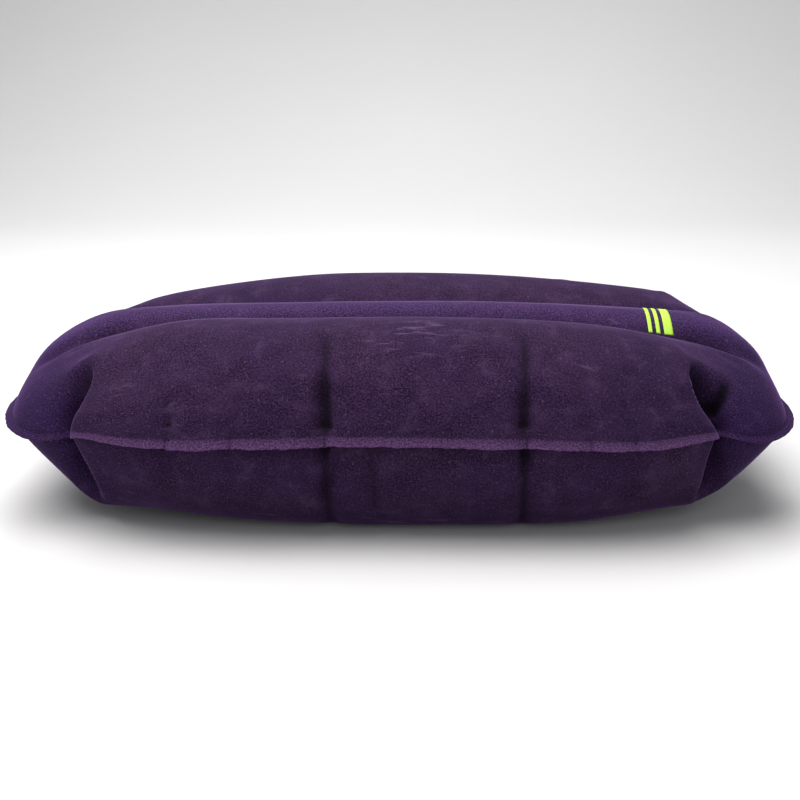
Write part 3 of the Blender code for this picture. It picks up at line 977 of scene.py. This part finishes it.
def build_skin(name, node, layer, sim, flock, ragged):
    """One skin with its half of the flange, as a closed shell of film and pile."""
    nx, ny = sim.cut.shape[1:]
    grid = settled(sim.points[:, layer])
    rim = sim.rim
    rows = flange_rows(grid[:, rim[0], rim[1]], settled(sim.flange), ragged)
    points = np.concatenate([grid.reshape(3, -1)] + rows, 1).T
    numbers = np.arange(nx * ny).reshape(nx, ny)
    ring = numbers[rim]
    belts = [np.append(ring, ring[0])]
    for k in range(len(rows)):
        row = nx * ny + k * len(ring) + np.arange(len(ring))
        belts.append(np.append(row, row[0]))
    quads = np.concatenate([quads_between(numbers), quads_between(np.array(belts))])
    if layer == 1:
        quads = quads[:, ::-1]
    welded = [np.zeros(nx * ny)] + [np.full(len(ring), 0.4 + 0.6 * share) for share in FLANGE_SHARES]
    welded = np.concatenate(welded)
    rows = flange_rows(sim.cut[:, rim[0], rim[1]], sim.flange_cut, ragged)
    spots = np.concatenate([sim.cut.reshape(3, -1)] + rows, 1).T
    spots = spots + [0, 0, float(layer)]
    # How dark the painted shade in each dent is
    painted_dent_shade = np.minimum((dent(spots[:, :2].T, layer, held=False) / DENT_SHADE) ** 2, 1)
    if layer == 0:
        points = flatten_for_valve(points)
        points, quads = cut_valve_hole(points, quads)
        welded = np.concatenate([welded, np.full(len(points) - len(spots), 0.3)])
        spots = np.concatenate([spots, spots_round_valve(points, spots)])
    # Painted shade in the creases
    painted_shade = crease_shade(points, quads)
    # Painted shade under the flange, on the lower skin
    if layer == 1:
        painted_shade[:nx * ny] = np.maximum(painted_shade[:nx * ny], shaded_by_flange(nx, ny))
    # Painted shade in the dents
    painted_shade[:len(painted_dent_shade)] = np.maximum(painted_shade[:len(painted_dent_shade)], painted_dent_shade)
    skin, used = shell(name, points, quads, FILM, flock)
    for key, values in (("cut", spots), ("weld", welded), ("painted_shade", painted_shade)):
        values = values[used]
        add_attribute(skin, key, np.concatenate([values, values]))
    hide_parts(node)
    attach(skin, "cushion")
    return skin


# ---- webs


def build_web(name, node, rows, sim, film):
    """A strip between the skins, with a tab along each long edge that lies on the skin."""
    top = settled(sim.points[:, 0, sim.web_columns, rows])
    bottom = settled(sim.points[:, 1, sim.web_columns, rows])
    inset = np.array([0, 0, WEB_INSET])[:, None]
    lines = [top[:, :, k] - inset for k in range(top.shape[2])]
    start, end = lines[-1], bottom[:, :, -1] + inset
    places = np.linspace(0, 1, 12)[1:-1]
    wave = WEB_RIPPLE[0] * np.sin(start[0] * WEB_RIPPLE[1])
    for share in places:
        line = start + (end - start) * share
        line[1] = line[1] + wave * math.sin(math.pi * share)
        lines.append(line)
    lines += [bottom[:, :, k] + inset for k in range(bottom.shape[2])][::-1]
    points = np.stack(lines, 1)
    numbers = np.arange(points.shape[1] * points.shape[2]).reshape(points.shape[1:])
    web, _ = shell(name, points.reshape(3, -1).T, quads_between(numbers), WEB_FILM, film)
    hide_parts(node)
    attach(web, "cushion")
    return web


# ---- valve


def softened(profile, radius, steps=4, closed=True):
    """A profile with its corners rounded."""
    profile = [np.array(p, float) for p in profile]
    made = []
    count = len(profile)
    for k, corner in enumerate(profile):
        if not closed and k in (0, count - 1):
            made.append(corner)
            continue
        before, after = profile[k - 1] - corner, profile[(k + 1) % count] - corner
        reach = min(radius, 0.45 * np.linalg.norm(before), 0.45 * np.linalg.norm(after))
        start = corner + before / np.linalg.norm(before) * reach
        end = corner + after / np.linalg.norm(after) * reach
        for t in np.linspace(0, 1, steps + 1):
            made.append((1 - t) ** 2 * start + 2 * t * (1 - t) * corner + t * t * end)
    return made


def turned(name, profile, material, closed=True):
    """A solid of revolution about the valve's axis, from (radius, height) points."""
    angles = np.linspace(0, 2 * math.pi, SEGMENTS, endpoint=False)
    points, faces, rings = [], [], []
    for radius, height in profile:
        if radius < 1e-6:
            rings.append([len(points)] * SEGMENTS)
            points.append((0, 0, height))
            continue
        rings.append(list(range(len(points), len(points) + SEGMENTS)))
        points += [(radius * math.cos(a), radius * math.sin(a), height) for a in angles]
    pairs = list(zip(rings, rings[1:])) + ([(rings[-1], rings[0])] if closed else [])
    for near, far in pairs:
        for k in range(SEGMENTS):
            m = (k + 1) % SEGMENTS
            face = [near[k], near[m], far[m], far[k]]
            faces.append([v for i, v in enumerate(face) if v not in face[:i]])
    obj = mesh_object(name, to_world(np.array(points)), faces, material)
    obj.data.set_sharp_from_angle(angle=SHARP_ANGLE)
    return obj


def tube_faces(numbers, flipped=False):
    """The quads round rows of vertex numbers, each row a ring, and the two ends."""
    closed = np.concatenate([numbers, numbers[:, :1]], 1)
    ends = [numbers[0], numbers[-1][::-1]]
    if flipped:
        ends = [end[::-1] for end in ends]
    return list(quads_between(closed, flipped)) + ends


def prism(name, corners, low, high, material):
    """A solid between two copies of an outline in the valve's plane, with eased edges."""
    ease = min(0.00012, (high - low) / 4)
    corners = np.array(corners)
    middle = corners.mean(0)
    rings = []
    for height, shrink in ((low, 1), (low + ease, 0), (high - ease, 0), (high, 1)):
        inward = middle - corners
        inward /= np.linalg.norm(inward, axis=1)[:, None] + 1e-9
        flat = corners + inward * ease * shrink
        rings.append(np.column_stack([flat, np.full(len(flat), height)]))
    points = np.concatenate(rings)
    count = len(corners)
    numbers = np.arange(4 * count).reshape(4, count)
    obj = mesh_object(name, to_world(points), tube_faces(numbers, flipped=True), material)
    obj.data.set_sharp_from_angle(angle=SHARP_ANGLE)
    return obj


def build_ring(pvc):
    """The moulded ring: a flange under the skin and a collar through its hole."""
    profile = softened(
        [(0.0122, -0.0021), (0.0190, -0.0021), (0.0190, -0.00115), (0.0130, -0.00115), (0.0130, 0.0004),
         (0.0122, 0.0004)],
        0.0003,
    )
    ring = turned("valve_ring_moulding", profile, pvc)
    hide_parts("valve_ring")
    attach(ring, "cushion")


def build_membrane(pvc):
    """The soft cup, with shallow pleats that let it turn inside out."""
    face = [(0.0119, -0.0008), (0.0119, -0.0050)]
    for k in range(9):
        angle = math.pi / 2 * k / 8
        face.append((0.0119 - 0.0035 * (1 - math.cos(angle)), -0.0091 - 0.0035 * math.sin(angle)))
    for k in range(1, 13):
        radius = 0.0084 - 0.0034 * k / 12
        face.append((radius, -0.0126 + 0.00018 * math.sin(k * math.pi / 2)))
    back = [(max(r - 0.0005, 0.0050) if h > -0.0095 else r - 0.0002, h + (0 if h > -0.0060 else 0.0005))
            for r, h in face]
    cup = turned("valve_membrane_cup", face + back[::-1], pvc)
    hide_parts("valve_membrane")
    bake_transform(cup)


def build_stem(pvc):
    """The tube, with a collar at its top and a lip for the flap."""
    profile = softened(
        [(0.0033, -0.0135), (0.0047, -0.0135), (0.0047, -0.0122), (0.0044, -0.0119), (0.0044, -0.0080),
         (0.0047, -0.0076), (0.0047, -0.0028), (0.0056, -0.0028), (0.0056, -0.0016), (0.0033, -0.0016)],
        0.00025,
    )
    stem = turned("valve_stem_tube", profile, pvc)
    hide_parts("valve_stem")
    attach(stem, "valve_stem")


def build_plug(pvc):
    """Cap with a dished top and a raised rim, a ringed shank, and a pull tab with grip ribs."""
    low = PLUG_SEAT
    profile = [(0, low - 0.0077), (0.0023, low - 0.0077), (0.0031, low - 0.0069), (0.0031, low - 0.0052),
               (0.00285, low - 0.0049), (0.00285, low - 0.0036), (0.0031, low - 0.0033), (0.0031, low),
               (0.0058, low), (0.0058, low + 0.0013), (0.0050, low + 0.0013), (0.0047, low + 0.0010),
               (0, low + 0.0009)]
    plug = turned("valve_plug_cap", softened(profile, 0.00022, closed=False), pvc, closed=False)
    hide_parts("valve_plug")
    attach(plug, "valve_plug")
    corners = ((0.0049, -0.0026), (0.0102, -0.0026), (0.0102, 0.0026), (0.0049, 0.0026))
    tab = prism("valve_plug_tab", softened(corners, 0.0014, steps=6), low + 0.0002, low + 0.0011, pvc)
    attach(tab, "valve_plug")
    for k in range(3):
        x = 0.0072 + 0.0009 * k
        bar = softened(((x, -0.0020), (x + 0.0004, -0.0020), (x + 0.0004, 0.0020), (x, 0.0020)), 0.00018)
        rib = prism(f"valve_plug_rib_{k + 1}", bar, low + 0.00105, low + 0.0014, pvc)
        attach(rib, "valve_plug")


def build_strap(pvc):
    """The hairpin strap from the stem's collar to the cap."""
    low, high, reach = -0.0022, -0.00065, 0.0112
    middle, radius = (low + high) / 2, (high - low) / 2
    turn_x = reach - radius - 0.0003
    path = [(x, low) for x in np.linspace(0.0056, turn_x, 6)]
    path += [
        (turn_x + radius * math.cos(a), middle + radius * math.sin(a))
        for a in np.linspace(-math.pi / 2, math.pi / 2, 13)[1:-1]
    ]
    path += [(x, high) for x in np.linspace(turn_x, 0.0059, 6)]
    path = np.array(path)
    along = np.gradient(path, axis=0)
    along /= np.linalg.norm(along, axis=1)[:, None]
    normal = np.stack([-along[:, 1], along[:, 0]], 1)
    half_width, half_thickness = 0.0013, 0.0003
    section = softened(
        [(-half_width, -half_thickness), (half_width, -half_thickness),
         (half_width, half_thickness), (-half_width, half_thickness)],
        0.0002,
        steps=3,
    )
    points, count = [], len(section)
    for at, out in zip(path, normal):
        for wide, thick in section:
            points.append((-(at[0] + out[0] * thick), wide, at[1] + out[1] * thick))
    numbers = np.arange(len(points)).reshape(len(path), count)
    strap = mesh_object("valve_plug_strap", to_world(np.array(points)), tube_faces(numbers), pvc)
    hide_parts("plug_strap")
    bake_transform(strap)


def build_flap(pvc):
    """The one-way flap and its hinge tongue."""
    radius, tongue, low = 0.0043, 0.0014, -0.0142
    sweep = math.asin(tongue / radius)
    angles = np.linspace(-math.pi + sweep, math.pi - sweep, 65)
    corners = [(radius * math.cos(a), radius * math.sin(a)) for a in angles]
    corners += [(-0.0047, tongue), (-0.0047, -tongue)]
    flap = prism("valve_flap_disc", corners, low, low + 0.0004, pvc)
    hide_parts("valve_flap")
    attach(flap, "valve_flap")


# ---- print


def on_skin(values, i, j):
    """A grid's values, (3, nx, ny), between its points."""
    i0, j0 = np.floor(i).astype(int), np.floor(j).astype(int)
    u, v = i - i0, j - j0
    return (
        values[:, i0, j0] * (1 - u) * (1 - v) + values[:, i0 + 1, j0] * u * (1 - v)
        + values[:, i0, j0 + 1] * (1 - u) * v + values[:, i0 + 1, j0 + 1] * u * v
    )


def build_print(sim, ink):
    """Three plain bars of ink across the middle chamber, near its right end."""
    nx, ny = sim.cut.shape[1:]
    grid = settled(sim.points[:, 0])
    for number, (left, wide) in enumerate(PRINT_BARS):
        x = np.linspace(left, left + wide, 5)
        y = np.linspace(*PRINT_SPAN, 37)
        i = np.interp(x, sim.cut[0, :, ny // 2], np.arange(nx))
        j = np.interp(y, sim.cut[1, nx // 2], np.arange(ny))
        i, j = np.meshgrid(i, j, indexing="ij")
        points = on_skin(grid, i, j).reshape(3, -1).T
        quads = quads_between(np.arange(x.size * y.size).reshape(x.size, y.size))
        points = points + vertex_normals(points, quads) * (FILM + INK_CLEARANCE)
        bar, _ = shell(f"print_bar_{number + 1}", points, quads, INK_THICKNESS, ink)
        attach(bar, "cushion")


# ---- studio


def build_floor():
    """White floor that curves up to a back wall."""
    made, shader, tree = paint("studio_white", Roughness=0.9)
    place = add_node(tree, "TexCoord").outputs["Object"]
    colour = mixed(tree, noise(tree, place, 3.0), *FLOOR_COLOURS)
    tree.links.new(colour, shader.inputs["Base Color"])
    start, radius, wall = COVE
    profile = [(FLOOR_FRONT, 0.0), (start, 0.0)]
    for a in np.linspace(0, math.pi / 2, 13)[1:]:
        profile.append((start + radius * math.sin(a), radius - radius * math.cos(a)))
    profile.append((start + radius, wall))
    points = [(x, y, z - FLOOR_DROP) for y, z in profile for x in (-FLOOR_HALF_WIDTH, FLOOR_HALF_WIDTH)]
    faces = [[2 * k, 2 * k + 1, 2 * k + 3, 2 * k + 2] for k in range(len(profile) - 1)]
    mesh_object("studio_floor", np.array(points), faces, made)


def build_lights():
    """Three soft lights and an even world."""
    for name, place, size, power, colour in LIGHTS:
        light = bpy.data.lights.new(name, "AREA")
        light.size = size
        light.energy = power
        light.color = colour
        lamp = new_object(name, light)
        lamp.location = place
        aim = Vector(LIGHTS_AIM) - Vector(place)
        lamp.rotation_euler = aim.to_track_quat("-Z", "Y").to_euler()
    bpy.context.scene.view_settings.view_transform = "Standard"
    world = bpy.data.worlds.new("studio")
    bpy.context.scene.world = world
    world.use_nodes = True
    background = world.node_tree.nodes["Background"]
    background.inputs["Color"].default_value = (1, 1, 1, 1)
    background.inputs["Strength"].default_value = WORLD_STRENGTH


def build_camera():
    camera = new_object("camera", bpy.data.cameras.new("camera"))
    camera.location = CAMERA_PLACE
    left, down, roll = CAMERA_TURN
    turn = Matrix.Rotation(math.radians(left), 3, "Z")
    turn = turn @ Matrix.Rotation(math.radians(90 - down), 3, "X")
    turn = turn @ Matrix.Rotation(math.radians(roll), 3, "Z")
    camera.rotation_euler = turn.to_euler()
    camera.data.lens = CAMERA_LENS
    bpy.context.scene.camera = camera


def main():
    rng = np.random.default_rng(RAGGED_SEED)
    flock, film, pvc, ink = flock_material(), film_material(), valve_material(), print_material()
    sim = inflate(LEVELS)
    count = len(sim.rim[0])
    ragged = sum(size * wander(rng, count, reach * count / RAGGED_POINTS) for size, reach in RAGGED)
    build_skin("upper_skin_flocked", "upper_skin", 0, sim, flock, ragged)
    build_skin("lower_skin_flocked", "lower_skin", 1, sim, flock, ragged)
    build_web("front_web_strip", "front_web", sim.web_rows[0], sim, film)
    build_web("rear_web_strip", "rear_web", sim.web_rows[1], sim, film)
    for build in (build_ring, build_membrane, build_stem, build_plug, build_strap, build_flap):
        build(pvc)
    build_print(sim, ink)
    build_floor()
    build_lights()
    build_camera()


main()
